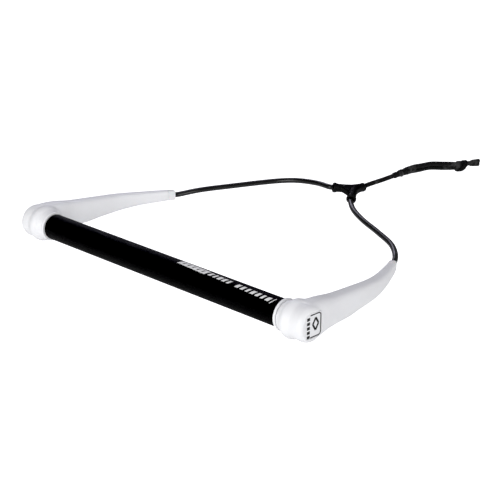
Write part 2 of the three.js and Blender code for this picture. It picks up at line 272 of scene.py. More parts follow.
# ---------- mesh work ----------
def show(name, mesh, material, sharp=35):
    """Makes a shown object of a mesh, smooth but for edges sharper than the given angle."""
    mesh.name = name
    mesh.polygons.foreach_set("use_smooth", [True] * len(mesh.polygons))
    mesh.set_sharp_from_angle(angle=math.radians(sharp))
    mesh.materials.clear()
    mesh.materials.append(material)
    obj = bpy.data.objects.new(name, mesh)
    bpy.context.scene.collection.objects.link(obj)
    return obj


def modified(mesh, add_modifiers):
    """The mesh after the modifiers that add_modifiers puts on an object of it."""
    obj = bpy.data.objects.new("work", mesh)
    bpy.context.scene.collection.objects.link(obj)
    add_modifiers(obj)
    graph = bpy.context.evaluated_depsgraph_get()
    result = bpy.data.meshes.new_from_object(obj.evaluated_get(graph))
    bpy.data.objects.remove(obj)
    return result


def joined(meshes):
    """One mesh that holds the others side by side."""
    both = bmesh.new()
    for mesh in meshes:
        both.from_mesh(mesh)
    result = bpy.data.meshes.new("joined")
    both.to_mesh(result)
    both.free()
    return result


def fused(meshes, voxel):
    """One skin round overlapping closed meshes, on a grid of the given size in mm."""
    def remesh(obj):
        step = obj.modifiers.new("skin", "REMESH")
        step.mode = "VOXEL"
        step.voxel_size = voxel * MM
    return modified(joined(meshes), remesh)


def carved(mesh, *tools):
    """The mesh with each closed tool mesh cut out of it."""
    for tool in tools:
        cutter = bpy.data.objects.new("cutter", tool)
        bpy.context.scene.collection.objects.link(cutter)

        def subtract(obj):
            step = obj.modifiers.new("cut", "BOOLEAN")
            step.operation = "DIFFERENCE"
            step.solver = "EXACT"
            step.object = cutter
        mesh = modified(mesh, subtract)
        bpy.data.objects.remove(cutter)
    return mesh


def relaxed(mesh, rounds, weight=None):
    """Smooths a mesh by moving each vertex half way to its neighbours' middle. weight(points) sets
    how much each place in mm follows."""
    count = len(mesh.vertices)
    points = np.zeros(count * 3)
    mesh.vertices.foreach_get("co", points)
    points = points.reshape(-1, 3)
    edges = np.zeros(len(mesh.edges) * 2, int)
    mesh.edges.foreach_get("vertices", edges)
    ends = np.concatenate([edges[0::2], edges[1::2]])
    others = np.concatenate([edges[1::2], edges[0::2]])
    links = np.bincount(ends, minlength=count)[:, None]
    share = 0.5 if weight is None else 0.5 * weight(local(points))[:, None]
    for _ in range(rounds):
        total = [np.bincount(ends, points[others, k], minlength=count) for k in range(3)]
        points = points + share * (np.stack(total, axis=1) / links - points)
    mesh.vertices.foreach_set("co", points.ravel())
    mesh.update()
    return mesh


# ---------- materials ----------
class Nodes:
    """A short way to write a material's node tree."""

    def __init__(self, name):
        self.material = bpy.data.materials.new(name)
        self.material.use_nodes = True
        self.tree = self.material.node_tree
        self.bsdf = self.tree.nodes["Principled BSDF"]

    def add(self, kind, settings=None, **inputs):
        node = self.tree.nodes.new("ShaderNode" + kind)
        for key, value in (settings or {}).items():
            setattr(node, key, value)
        for key, value in inputs.items():
            self.put(node.inputs[key.replace("_", " ")], value)
        return node

    def put(self, socket, value):
        if isinstance(value, bpy.types.NodeSocket):
            self.tree.links.new(value, socket)
        else:
            socket.default_value = value

    def math(self, operation, a, b=0.0, c=0.0):
        node = self.add("Math", {"operation": operation})
        for socket, value in zip(node.inputs, (a, b, c)):
            self.put(socket, value)
        return node.outputs[0]

    def place(self, kind="Object"):
        return self.add("TexCoord").outputs[kind]

    def stretched(self, vector, scale):
        return self.add("Mapping", None, Vector=vector, Scale=scale).outputs[0]

    def noise(self, vector, per_mm, detail=4.0, rough=0.55):
        """A noise of 0 to 1 with about per_mm features in each mm of an object's own space."""
        node = self.add("TexNoise", None, Vector=vector, Scale=per_mm / MM, Detail=detail, Roughness=rough)
        return node.outputs["Fac"]

    def spread(self, value, low, high, start=0.25, stop=0.75):
        node = self.add("MapRange", None, Value=value, From_Min=start, From_Max=stop, To_Min=low, To_Max=high)
        return node.outputs[0]

    def blend(self, factor, first, second):
        node = self.add("Mix", {"data_type": "RGBA"})
        self.put(node.inputs[0], factor)
        self.put(node.inputs[6], first)
        self.put(node.inputs[7], second)
        return node.outputs[2]

    def set(self, **inputs):
        for key, value in inputs.items():
            self.put(self.bsdf.inputs[key.replace("_", " ")], value)

    def bump(self, height, depth, strength=1.0):
        """Relief from a height of 0 to 1, depth in mm."""
        node = self.add("Bump", None, Height=height, Distance=depth * MM, Strength=strength)
        self.put(self.bsdf.inputs["Normal"], node.outputs[0])


def grey(level, cool=0.0):
    return (level * (1 - cool), level * (1 - 0.75 * cool), level * (1 + 0.6 * cool), 1)


def moulded_white(name):
    n = Nodes(name)
    where = n.place()
    cloud, grain = n.noise(where, 0.03), n.noise(where, 2.6, 3)
    scuff = n.noise(n.stretched(where, (1, 0.25, 2.2)), 0.5, 6, 0.7)
    base = n.blend(n.spread(cloud, 0, 1), grey(0.80, 0.012), grey(0.86, 0.022))
    # Painted highlight: sharp convex edges are mixed towards a brighter white.
    edge = n.spread(n.add("NewGeometry").outputs["Pointiness"], 0, 0.35, 0.51, 0.56)
    base = n.blend(edge, base, grey(0.9, 0.005))
    base = n.blend(n.spread(scuff, 0, 0.14, 0.62, 0.8), base, grey(0.66, -0.01))
    n.set(Base_Color=base, Roughness=n.spread(scuff, 0.36, 0.52), Specular_IOR_Level=0.42)
    n.set(Subsurface_Weight=0.06, Subsurface_Radius=(1, 0.9, 0.85), Subsurface_Scale=1.2 * MM)
    n.bump(n.math("ADD", n.math("MULTIPLY", grain, 0.4), n.math("MULTIPLY", scuff, 0.6)), 0.03)
    return n.material


def foam_grip(name):
    n = Nodes(name)
    where = n.place()
    cells = n.add("TexVoronoi", None, Vector=where, Scale=1.9 / MM).outputs["Distance"]
    cloud, fine = n.noise(where, 0.05), n.noise(where, 5, 3)
    base = n.blend(n.spread(cloud, 0, 1), grey(0.0008), grey(0.0022, 0.03))
    rub = n.noise(n.stretched(where, (0.12, 1, 1)), 0.4, 5, 0.65)
    base = n.blend(n.spread(rub, 0, 0.5, 0.6, 0.82), base, grey(0.005))
    n.set(Base_Color=base, Roughness=n.spread(rub, 0.5, 0.7), Specular_IOR_Level=0.08)
    n.bump(n.math("ADD", n.math("MULTIPLY", cells, 0.7), n.math("MULTIPLY", fine, 0.3)), 0.05, 0.6)
    return n.material


def tubing(name, marks=False):
    """A smooth black sleeve. marks adds a short row of plain pale ticks near its start."""
    n = Nodes(name)
    where, along = n.place(), n.place("UV")
    streak = n.noise(n.stretched(along, (0.02 * MM, 9 * MM, 1)), 1, 3)
    cloud = n.noise(where, 0.08)
    base = n.blend(n.spread(cloud, 0, 1), grey(0.004), grey(0.010, 0.02))
    if marks:
        u, v = n.add("SeparateXYZ", None, Vector=along).outputs[:2]
        tick = n.math("LESS_THAN", n.math("FRACT", n.math("MULTIPLY", u, 0.62)), 0.55)
        row = n.math("LESS_THAN", n.math("ABSOLUTE", n.math("SUBTRACT", v, MARK_TURN)), 0.035)
        span = n.math("LESS_THAN", n.math("ABSOLUTE", n.math("SUBTRACT", u, MARK_MIDDLE)), MARK_REACH)
        shown = n.math("MULTIPLY", n.math("MULTIPLY", tick, row), span)
        base = n.blend(n.math("MULTIPLY", shown, 0.45), base, grey(0.5))
    n.set(Base_Color=base, Roughness=n.spread(streak, 0.26, 0.4), Specular_IOR_Level=0.42)
    n.set(Coat_Weight=0.12, Coat_Roughness=0.22)
    n.bump(n.math("ADD", n.math("MULTIPLY", streak, 0.5), n.math("MULTIPLY", cloud, 0.5)), 0.05, 0.5)
    return n.material


def moulded_black(name):
    n = Nodes(name)
    where = n.place()
    cloud, grain = n.noise(where, 0.12), n.noise(where, 3.2, 4)
    base = n.blend(n.spread(cloud, 0, 1), grey(0.003), grey(0.007, 0.02))
    edge = n.spread(n.add("NewGeometry").outputs["Pointiness"], 0, 0.6, 0.51, 0.58)
    base = n.blend(edge, base, grey(0.012))
    n.set(Base_Color=base, Roughness=n.spread(cloud, 0.48, 0.66), Specular_IOR_Level=0.2)
    n.bump(grain, 0.05, 0.7)
    return n.material


def braided_cord(name, level=0.008, carriers=8):
    """Black yarn: fine filaments along the rope, paler patches of painted highlight, painted shade in the
    hollows, a little sheen.
    """
    n = Nodes(name)
    where, along = n.place(), n.place("UV")
    u, v = n.add("SeparateXYZ", None, Vector=along).outputs[:2]
    turn = n.math("MULTIPLY", v, 2 * math.pi * carriers * 7)
    strand = n.math("SINE", n.math("ADD", turn, n.math("MULTIPLY", u, 9)))
    fuzz, cloud = n.noise(where, 5, 4, 0.7), n.noise(where, 0.25)
    yarn = n.math("ADD", n.math("MULTIPLY", strand, 0.25), fuzz)
    base = n.blend(n.spread(cloud, 0, 1), grey(level * 0.5), grey(level * 1.3, 0.02))
    base = n.blend(n.spread(yarn, 0, 0.5, 0.5, 0.95), base, grey(level * 2.6))
    # Painted highlight: pale patches, laid out at random, stand in for the light caught on the strands.
    painted_highlight_patches = n.spread(n.noise(where, 0.07, 3), 0, 0.6, 0.54, 0.66)
    base = n.blend(painted_highlight_patches, base, grey(level * 14))
    # Painted shade: the hollows between the strands are darkened.
    hollow = n.spread(n.add("NewGeometry").outputs["Pointiness"], 0.8, 0, 0.44, 0.5)
    base = n.blend(hollow, base, grey(level * 0.3))
    n.set(Base_Color=base, Roughness=n.spread(fuzz, 0.6, 0.9), Specular_IOR_Level=0.18)
    n.set(Sheen_Weight=0.05, Sheen_Roughness=0.5)
    n.bump(yarn, 0.09)
    return n.material


def drawn_alloy(name):
    n = Nodes(name)
    where = n.place()
    lines = n.noise(n.stretched(where, (0.03, 1, 1)), 4, 3)
    base = n.blend(n.spread(lines, 0, 1), grey(0.55), grey(0.72, 0.01))
    n.set(Base_Color=base, Metallic=1.0, Roughness=n.spread(lines, 0.24, 0.42))
    n.bump(lines, 0.02)
    return n.material


def nylon(name):
    n = Nodes(name)
    where = n.place()
    cloud, grain = n.noise(where, 0.2), n.noise(where, 3, 3)
    base = n.blend(n.spread(cloud, 0, 1), grey(0.78, 0.01), grey(0.85, 0.015))
    n.set(Base_Color=base, Roughness=n.spread(grain, 0.34, 0.46), Specular_IOR_Level=0.45)
    n.set(Subsurface_Weight=0.08, Subsurface_Scale=1.0 * MM)
    n.bump(grain, 0.02)
    return n.material


def ink(name, level):
    """Printed ink, slightly broken where the surface under it is rough."""
    n = Nodes(name)
    where = n.place()
    worn = n.noise(where, 2.2, 6, 0.7)
    base = n.blend(n.spread(worn, 0, 1), grey(level * 0.88), grey(level))
    n.set(Base_Color=base, Roughness=n.spread(worn, 0.4, 0.6), Specular_IOR_Level=0.3)
    n.bump(worn, 0.02)
    return n.material


# A short row of ticks on the left sleeve, in mm along it and as a share of a turn round it.
MARK_MIDDLE, MARK_REACH, MARK_TURN = 16.5, 7.0, 0.4

WHITE = moulded_white("white_rubber")
GRIP = foam_grip("grip_rubber")
TUBING = tubing("sleeve_tubing")
MARKED_TUBING = tubing("sleeve_tubing_marked", marks=True)
YOKE_RUBBER = moulded_black("yoke_rubber")
BRAID = braided_cord("tow_braid", 0.005)
CORE = braided_cord("core_braid", 0.03, 6)
ALLOY = drawn_alloy("bar_alloy")
NYLON = nylon("ferrule_nylon")
WHITE_INK = ink("white_ink", 0.8)
BLACK_INK = ink("black_ink", 0.012)

# ---------- bar ----------
GAP = 0.3  # between neighbouring pieces
ROUND = 144  # points round the grip and collars
COLLAR_LINE = 0.2  # depth, and half width, of each turned line


def build_grip():
    inner = TUBE_RADIUS + GAP
    outer = GRIP_RADIUS
    profile = [(-GRIP_HALF, inner), (-GRIP_HALF, outer), (GRIP_HALF, outer), (GRIP_HALF, inner)]
    rounded = filleted([(0, inner), *profile, (0, inner)], 1.0)
    mesh = loft_mesh("grip", turned_rings(rounded[:-1], ROUND), closed=True)
    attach(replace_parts(show("grip_cover", mesh, GRIP), "grip_sleeve"), "handle")


def build_collar(name, side):
    """The bright ring at each end of the grip, with two fine turned lines."""
    start = GRIP_HALF + GAP
    end = start + size(f"grip_collar_{name}")[0]
    inner, outer = TUBE_RADIUS + GAP, COLLAR_RADIUS
    lines = [start + 1.1, start + 1.9]
    profile = [((start + end) / 2, inner), (start, inner), (start, outer - 0.5)]
    for x in lines:
        profile += [(x - COLLAR_LINE, outer), (x, outer - COLLAR_LINE), (x + COLLAR_LINE, outer)]
    profile += [(end, outer - 0.4), (end, inner)]
    rounded = filleted(profile, 0.35, 3)
    mesh = loft_mesh("collar", turned_rings(rounded, ROUND, side), closed=True)
    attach(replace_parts(show(f"collar_{name}", mesh, WHITE), f"grip_collar_{name}"), "handle")


def grip_patch(x, length, turn, height, slant, lift=0.12):
    """A thin raised patch on the grip: its middle at x mm and turn degrees, height and slant in mm."""
    across = np.linspace(-0.5, 0.5, 7)
    angles = np.radians(turn) + across * height / GRIP_RADIUS
    xs = x + np.array([-0.5, 0.5])[:, None] * length + across * slant
    rings = []
    for k in (0, 1):
        top, low = GRIP_RADIUS + lift, GRIP_RADIUS - lift
        outer = np.stack([xs[k], top * np.cos(angles), top * np.sin(angles)], axis=1)
        inner = np.stack([xs[k], low * np.cos(angles), low * np.sin(angles)], axis=1)
        rings.append(np.vstack([outer, inner[::-1]]))
    return loft_mesh("patch", np.array(rings)[:, ::-1])


def build_grip_marks():
    """Generic marks in place of lettering: a windowed block, two rows of plain bars and a thin stroke."""
    start, tall, slant = 32.6, 7.2, -3.8
    turn_at = lambda x: 94 + 0.2 * (x - 52)  # the row creeps round the grip
    patches = []
    block, rim, post = 41.0, 1.6, 5.2  # the block's length, its long edges' width and its posts' length
    for level in (-1, 1):
        edge = level * (tall - rim) / 2
        x = start + block / 2 + edge / tall * slant
        for k in range(5):
            at = x + (k - 2) * block / 5
            turn = turn_at(at) + math.degrees(edge / GRIP_RADIUS)
            patches.append(grip_patch(at, block / 5 + 0.1, turn, rim, rim / tall * slant))
    inside = tall - 3.0
    for x in np.linspace(start + post / 2, start + block - post / 2, 6):
        patches.append(grip_patch(x, post, turn_at(x), inside, slant * inside / tall))
    bars = [start + block + 5.5 + 6.6 * k for k in range(5)]
    bars += [bars[-1] + 13.0 + 7.0 * k for k in range(7)]
    lengths = (4.0, 3.2, 4.6)
    patches += [grip_patch(x, lengths[k % 3], turn_at(x), 5.0, slant * 0.7) for k, x in enumerate(bars)]
    stroke = bars[-1] + 6.0
    patches.append(grip_patch(stroke, 1.1, turn_at(stroke), tall, slant))
    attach(show("grip_marks", joined(patches), WHITE_INK), "handle")


# ---------- arms and heads ----------
TIP = np.array([166.6, 174.9, -0.8])  # the middle of the right arm's end
ARM_LINE = [(201, 2), (199.8, 26), (196.6, 70), (191, 115), (173.2, 162), (TIP[0], TIP[1])]
ARM_HALF_HEIGHT = [(0, 18.9), (0.05, 19.2), (0.11, 18.8), (0.17, 16.2), (0.25, 14.4), (0.45, 11.6),
                   (0.75, 7.5), (1, 5.9)]
ARM_HALF_WIDTH = [(0, 11.4), (0.12, 12), (0.2, 10), (0.3, 9.4), (0.45, 8.5), (0.75, 6.5), (1, 4.3)]
ARM_BELOW = [(0, 1), (0.05, 0.95), (0.1, 0.83), (0.14, 0.8), (0.19, 0.88), (0.26, 0.97), (0.34, 1.05),
             (0.43, 1), (1, 1)]  # how far the section reaches below its line, as a share of the height above
ARM_POWER = 4.0
ROOT_REACH, ROOT_SIDE = 17, 184  # y and |x| of the place where the arm grows out of the head
FERRULE = 9.0
FERRULE_LINES = (2.2, 6.0)  # mm along the ferrule
HEAD_PROFILE = [(178.6, 11.0), (178.6, 15.7), (181, 16.6), (183.4, 17.9), (184.3, 17.5), (185.4, 18.9),
                (187.6, 20.4), (190.8, 21.2), (194, 20.5), (198.0, 18.7), (203, 19.3), (208.5, 19.2),
                (211.5, 17.9), (213, 15.6), (213, 8)]
HEAD_HEIGHT = 0.95  # the head is a little flatter than it is deep
SEAT_START, CAP_START = 177, 201  # |x| where the head's bore for the bar and its end cap begin
CAP_CLEARANCE = 0.25


def softly(table, u, width=0.05):
    """A table's values at u, averaged over a short width so that they change without kinks."""
    at, value = np.array(table).T
    shifts = np.linspace(-width, width, 11)
    return np.mean([np.interp(u + s, at, value) for s in shifts], axis=0)


def arm_rings(side):
    points = [(x * side, y, TIP[2] * (k / (len(ARM_LINE) - 1)) ** 2) for k, (x, y) in enumerate(ARM_LINE)]
    path = curve(points, 0.8)
    u = np.linspace(0, 1, len(path))
    outlines = superellipses(softly(ARM_HALF_WIDTH, u), softly(ARM_HALF_HEIGHT, u), ARM_POWER, 72)
    below = softly(ARM_BELOW, u, 0.02)[:, None]
    outlines[..., 1] *= np.where(outlines[..., 1] < 0, below, 1)
    return path, rings_along(path, outlines)


def cap_rings(x_values, insets, side):
    """Rings of the end cap's rounded box, each at its own x and shrunk by its own inset."""
    rings = []
    for x, inset in zip(x_values, insets):
        y, z = rounded_box(CAP_HALF[0] - inset, CAP_HALF[1] - inset, 3.0 - inset * 0.6).T
        rings.append(np.stack([np.full(len(y), x), -y, z], axis=1))
    return mirrored(np.array(rings), side)


def build_arm(name, side):
    path, rings = arm_rings(side)
    length = np.linalg.norm(np.diff(path, axis=0), axis=1).sum()
    cut = int(round((1 - FERRULE / length) * (len(path) - 1)))
    head = turned_rings(filleted(HEAD_PROFILE, 1.0), 120, side) * [1, 1, HEAD_HEIGHT]
    skin = fused([loft_mesh("head", head), loft_mesh("arm", rings[: cut + 1])], 0.6)

    def near_root(points):
        """Most where the arm grows out of the head, little on the rest."""
        along = np.clip(1 - np.abs(points[:, 1] - ROOT_REACH) / ROOT_REACH, 0, 1)
        outside = np.clip((np.abs(points[:, 0]) - ROOT_SIDE) / 4, 0, 1)
        return 0.06 + 0.94 * along * outside
    skin = relaxed(skin, 80, near_root)
    radius, end = TUBE_RADIUS + GAP, TUBE_HALF + GAP
    seat = turned_rings([(SEAT_START, 0.01), (SEAT_START, radius), (end, radius), (end, 0.01)], 96, side)
    pocket = cap_rings([CAP_START - 0.4, HEAD_FACE + 4], [-CAP_CLEARANCE] * 2, side)
    mesh = carved(skin, loft_mesh("seat", seat), loft_mesh("pocket", pocket))
    arm = show(f"moulded_arm_{name}", mesh, WHITE, 38)
    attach(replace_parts(arm, f"arm_{name}"), "handle")
    build_ferrule(name, path[cut:], rings[cut:])
    build_cap(name, side)


def build_ferrule(name, path, rings):
    """The nylon end of the arm: two turned lines, a rounded mouth and the hole the sleeve leaves by."""
    count = rings.shape[1]
    steps = 60
    at = np.linspace(0, 1, len(path))
    fine = np.linspace(0, 1, steps)
    hub = np.stack([np.interp(fine, at, path[:, k]) for k in range(3)], axis=1)
    skin = np.stack([[np.interp(fine, at, rings[:, j, k]) for k in range(3)] for j in range(count)])
    skin = np.moveaxis(skin, (0, 1, 2), (1, 2, 0))
    along = fine * FERRULE
    inset = sum(0.35 * np.exp(-((along - line) / 0.28) ** 2) for line in FERRULE_LINES)
    inset += 0.3 * np.clip(1 - along / 0.4, 0, 1) + 1.3 * np.clip(1 - (FERRULE - along) / 1.3, 0, 1) ** 2
    out = unit(skin - hub[:, None])
    outer = skin - out * inset[:, None, None]
    hole = rings_along(hub, circles(np.full(steps, SLEEVE_RADIUS + 0.25), count))
    lip = (outer[-1] * 0.35 + hole[-1] * 0.65)[None]
    mesh = loft_mesh("ferrule", np.concatenate([outer, lip, hole[::-1]]), closed=True)
    ferrule = show(f"ferrule_{name}", mesh, NYLON)
    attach(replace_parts(ferrule, f"tip_ferrule_{name}"), "handle")


def build_cap(name, side):
    x = [CAP_START, CAP_START + 0.6, HEAD_FACE - 0.55, HEAD_FACE - 0.2, HEAD_FACE - 0.02, HEAD_FACE]
    inset = [0.5, 0, 0, 0.12, 0.45, 0.9]
    cap = show(f"cap_{name}", loft_mesh("cap", cap_rings(x, inset, side)), WHITE)
    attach(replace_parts(cap, f"end_cap_{name}"), "handle")
    build_cap_mark(name, side)


def ribbon(points, width, side, lift=0.12):
    """A thin strip with its face towards the outside, along a path of (y, z) points on the cap's face."""
    path = np.asarray(points, float)
    along = unit(np.gradient(path, axis=0))
    across = np.stack([-along[:, 1], along[:, 0]], axis=1) * width / 2
    rings = []
    for p, a in zip(path, across):
        corners = [(-lift, p + a), (-lift, p - a), (lift, p - a), (lift, p + a)]
        rings.append([(HEAD_FACE + x, q[0], q[1]) for x, q in corners])
    return loft_mesh("ribbon", mirrored(np.array(rings), side))


def build_cap_mark(name, side):
    """A generic printed mark: an open frame, a plain diamond and a column of squares."""
    hy, hz = CAP_HALF - 1.25
    corner = 1.8
    column = -hy + 1.7
    outline = [(column + 2.6, hz), (hy - corner, hz), (hy, hz - corner),
               (hy, -hz + corner), (hy - corner, -hz), (column + 2.6, -hz)]
    strips = [ribbon(filleted(outline, 1.4), 1.15, side)]
    diamond = [(2.3, 7.4), (6.3, 1.2), (2.3, -5.0), (-1.7, 1.2)]
    strips += [ribbon([a, b], 2.1, side) for a, b in zip(diamond, diamond[1:] + diamond[:1])]
    squares = np.linspace(1.2 - hz, hz - 3.2, 5)
    strips += [ribbon([(column, z - 1.5), (column, z + 1.5)], 4.0, side) for z in squares]
    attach(show(f"cap_mark_{name}", joined(strips), BLACK_INK), "handle")


# ---------- ropes ----------
SLEEVE_RADIUS = 3.15
LINE_RADIUS = 2.85
ROPE_STEP = 0.3  # between a braided rope's rings
LEG_PATH = {  # between the arm's tip and the yoke
    "left": [(-156, 206, 0.4), (-132, 236, 4.2), (-94, 280, 9.5), (-74, 291, 12), (-46, 295.5, 14)],
    "right": [(151, 199, -1), (128, 221, 0), (95, 238, 1.8), (60, 254, 3.6), (31, 272, 5)],
}
# The mouths of the yoke's three limbs, in its own axes.
PORT_MOUTH = {"left": np.array([-15.5, -20.5, 0]), "right": np.array([15.5, -20.5, 0])}
NOSE = np.array([0, 17.3, 0])
HUB_RISE = 1.3  # the limbs meet a little above the plane of their mouths


def braid_relief(along, angle, carriers, pitch):
    """Height, from 0 to 1, of two families of strands that pass over and under each other."""
    u, v = carriers * angle / (2 * math.pi), along / pitch
    a, b = u + v, u - v
    near_a, near_b = np.round(a), np.round(b)
    strand = lambda off: np.sqrt(np.clip(1 - (1.9 * off) ** 2, 0, 1))
    over_a = np.cos(math.pi * (b + near_a))
    over_b = -np.cos(math.pi * (a + near_b))
    first = strand(a - near_a) * (0.62 + 0.38 * over_a)
    second = strand(b - near_b) * (0.62 + 0.38 * over_b)
    return np.clip(np.maximum(first, second), 0, 1)


def braided_rings(path, radius, frames=upright_frames, depth=0.42, round_ends=False):
    """Rings of a braided rope whose crown reaches the given radius, which may vary along it."""
    carriers, pitch, count = 8, 2.5, 64
    along = np.arange(len(path)) * np.linalg.norm(path[1] - path[0])
    relief = braid_relief(along[:, None], round_angles(count)[None], carriers, pitch)
    radii = np.broadcast_to(np.asarray(radius, float), (len(path),))[:, None] - depth * (1 - relief)
    if round_ends:
        reach = np.minimum(along, along[-1] - along)[:, None]
        crown = np.broadcast_to(radius, (len(path),))[:, None]
        radii = radii * np.sqrt(np.clip(1 - (1 - np.clip(reach / crown, 0.02, 1)) ** 2, 0, 1))
    return rings_along(path, circles(radii, count), frames)


def crossing(obj, along):
    """Bakes a piece's place into its mesh. along, the way the piece runs at the pivot, is not used."""
    along = unit(np.asarray(along, float))
    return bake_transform(obj)


def along_at(path, index):
    """The way a path runs at one of its points."""
    return path[index + 2] - path[index - 2]


def leg_path(name, side):
    """From inside the arm's tip, through both pivots, to inside the yoke's port."""
    arm, _ = arm_rings(side)
    inside = arm[-1] - unit(arm[-1] - arm[-9]) * 6.5
    mouth = PORT_MOUTH[name]
    deep = mouth - unit(mouth) * 9
    port = [PORT_PIVOT[name], in_yoke(mouth), in_yoke(deep)]
    return curve([inside, arm[-1], TIP_PIVOT[name], *LEG_PATH[name], *port], 0.8)


def nearest(path, point):
    return int(np.argmin(np.linalg.norm(path - point, axis=1)))


def sleeve_mesh(path, round_start=False, round_end=False, radius=SLEEVE_RADIUS):
    """A smooth sleeve along a path, closed by a half ball at each end that is asked to be round."""
    radii = np.full(len(path), radius)
    turns = np.radians([88, 78, 66, 52, 36, 18])
    for wanted, order in ((round_start, slice(None)), (round_end, slice(None, None, -1))):
        if wanted:
            points = path[order]
            out = unit(points[0] - points[1])
            caps = points[0] + np.outer(np.sin(turns) * radius, out)
            path = np.vstack([caps, points])[order]
            radii = np.concatenate([np.cos(turns) * radius, radii[order]])[order]
    return loft_mesh("sleeve", rings_along(path, circles(radii, 40)))


def build_left_leg():
    """A sleeve in two lengths that meet half way, so that each bends at one pivot only."""
    path = leg_path("left", -1)
    half = len(path) // 2
    tip, port = nearest(path, TIP_PIVOT["left"]), nearest(path, PORT_PIVOT["left"])
    outer = show("left_sleeve_outer", sleeve_mesh(path[: half + 1]), MARKED_TUBING)
    crossing(outer, along_at(path, tip))
    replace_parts(outer, "leg_sleeve_left", "leg_rope_left")
    inner = show("left_sleeve_inner", sleeve_mesh(path[half:]), TUBING)
    crossing(inner, along_at(path, port))


def build_right_leg():
    """One sleeve that ends in a ball at the yoke's right pivot, where a stub from the yoke meets it."""
    path = leg_path("right", 1)
    tip, port = nearest(path, TIP_PIVOT["right"]), nearest(path, PORT_PIVOT["right"])
    sleeve = show("right_sleeve", sleeve_mesh(path[: port + 1], round_end=True), TUBING)
    crossing(sleeve, along_at(path, tip))
    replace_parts(sleeve, "leg_sleeve_right", "leg_rope_right")
    stub = sleeve_mesh(path[port:], round_start=True, radius=SLEEVE_RADIUS - 0.03)
    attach(show("right_sleeve_stub", stub, TUBING), "yoke")


# ---------- yoke ----------
def yoke_arm(end, radii, steps=28):
    """A round limb from the yoke's middle to a point, with radii as (share of length, mm)."""
    share = np.linspace(0, 1, steps)
    path = in_yoke(np.outer(share, end) + np.outer((1 - share) ** 1.5, [0, 0, HUB_RISE]))
    at, value = np.array(radii).T
    return loft_mesh("limb", rings_along(path, circles(np.interp(share, at, value), 48)))


def web_mesh(thickness):
    """The flat web between the ports and the nose, with a hollow back edge."""
    x, back, front = 12.4, -17.6, 12.6
    t = np.linspace(0, 1, 16)[:, None]
    arc = lambda a, b, c: (1 - t) ** 2 * a + 2 * t * (1 - t) * b + t**2 * c
    rear = arc([-x, back], [0, back * 0.72], [x, back])
    right = arc([x, back], [6.4, -1.5], [3.6, front])
    left = right[::-1] * [-1, 1]
    outline = np.vstack([rear[:-1], right[:-1], left[:-1]])
    rings = []
    for z, inset in ((-1, 0.9), (-0.6, 1), (0.6, 1), (1, 0.9)):
        flat = outline * inset
        rings.append(in_yoke(np.column_stack([flat, np.full(len(flat), z * thickness / 2 + HUB_RISE / 2)])))
    return loft_mesh("web", np.array(rings)[::-1])


def build_yoke():
    port_radii = [(0, 5.2), (0.5, 4.9), (0.8, 5.0), (0.87, 6.0), (0.97, 6.0), (1, 5.5)]
    nose_radii = [(0, 5.6), (0.5, 5.3), (0.78, 5.0), (0.86, 5.5), (0.95, 5.3), (1, 4.6)]
    limbs = [yoke_arm(PORT_MOUTH[name], port_radii) for name, _ in SIDES] + [yoke_arm(NOSE, nose_radii)]
    skin = relaxed(fused([*limbs, web_mesh(7.6)], 0.4), 6)
    bores = [rod_in_yoke(0.5, 1.1, PORT_MOUTH[name], SLEEVE_RADIUS + 0.25) for name, _ in SIDES]
    bores.append(rod_in_yoke(0.5, 1.1, NOSE, LINE_RADIUS + 0.2))
    yoke = show("yoke_moulding", carved(skin, *bores), YOKE_RUBBER, 40)
    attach(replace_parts(yoke, "yoke_body"), "yoke")


def rod_in_yoke(start, end, towards, radius):
    """A plain rod from one share of the way to a mouth to another, to bore a limb with."""
    path = in_yoke(np.outer(np.linspace(start, end, 6), towards))
    return loft_mesh("rod", rings_along(path, circles(np.full(6, radius), 40)))


# ---------- tow line, splice, loop, knot and tail ----------
KNOT_CENTRE = np.array([10, 510, 1.8])
KNOT_HALF = 10.0  # from its centre to where the strands enter
KNOT_REACH = 5.6  # half the length of the tie wound round it
KNOT_LEAN = 0.5  # mm forward for each mm of height
KNOT_TIE_RADIUS = 4.9
KNOT_ROPE, KNOT_PAIR_OFFSET = 2.5, 1.8  # each rope's radius, and half the distance between the two
KNOT_FIRST_TURN, KNOT_TURNS = -13, 1.65  # degrees, whole turns
BIGHT_AT, BIGHT_RISE = 0.78, 0.55  # where along the tie it stands out, and by what share
TAIL_START = np.array([12.4, 521, 3.3])
TAIL_END = np.array([16, 542, 1.0])
SPLICE_LENGTH = 37.0
STRAND_RADIUS = 3.0
STRAND_GAP_AT_BEND = 2.75  # from the splice's end to the first bend of the loop


def build_line():
    """The braided line from the yoke's nose to the splice, in two lengths that meet between its bends."""
    first, second, third = LINE_BENDS[:3]
    nose, mouth = in_yoke(NOSE * 0.55), in_yoke(NOSE)
    towards_splice = unit(second - third)
    splice_start = third + towards_splice * (SPLICE_LENGTH + STRAND_GAP_AT_BEND)
    path = curve([nose, mouth, first, second, splice_start, third], ROPE_STEP)
    path = path[: nearest(path, splice_start - towards_splice * 4)]
    half = nearest(path, (first + second) / 2)
    rings = braided_rings(path, LINE_RADIUS)
    root = show("line_root", loft_mesh("root", rings[: half + 1]), BRAID)
    crossing(root, second - first)
    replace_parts(root, "tow_line_root")
    lead = show("line_lead", loft_mesh("lead", rings[half:]), BRAID)
    crossing(lead, third - second)
    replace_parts(lead, "tow_line")
    return splice_start


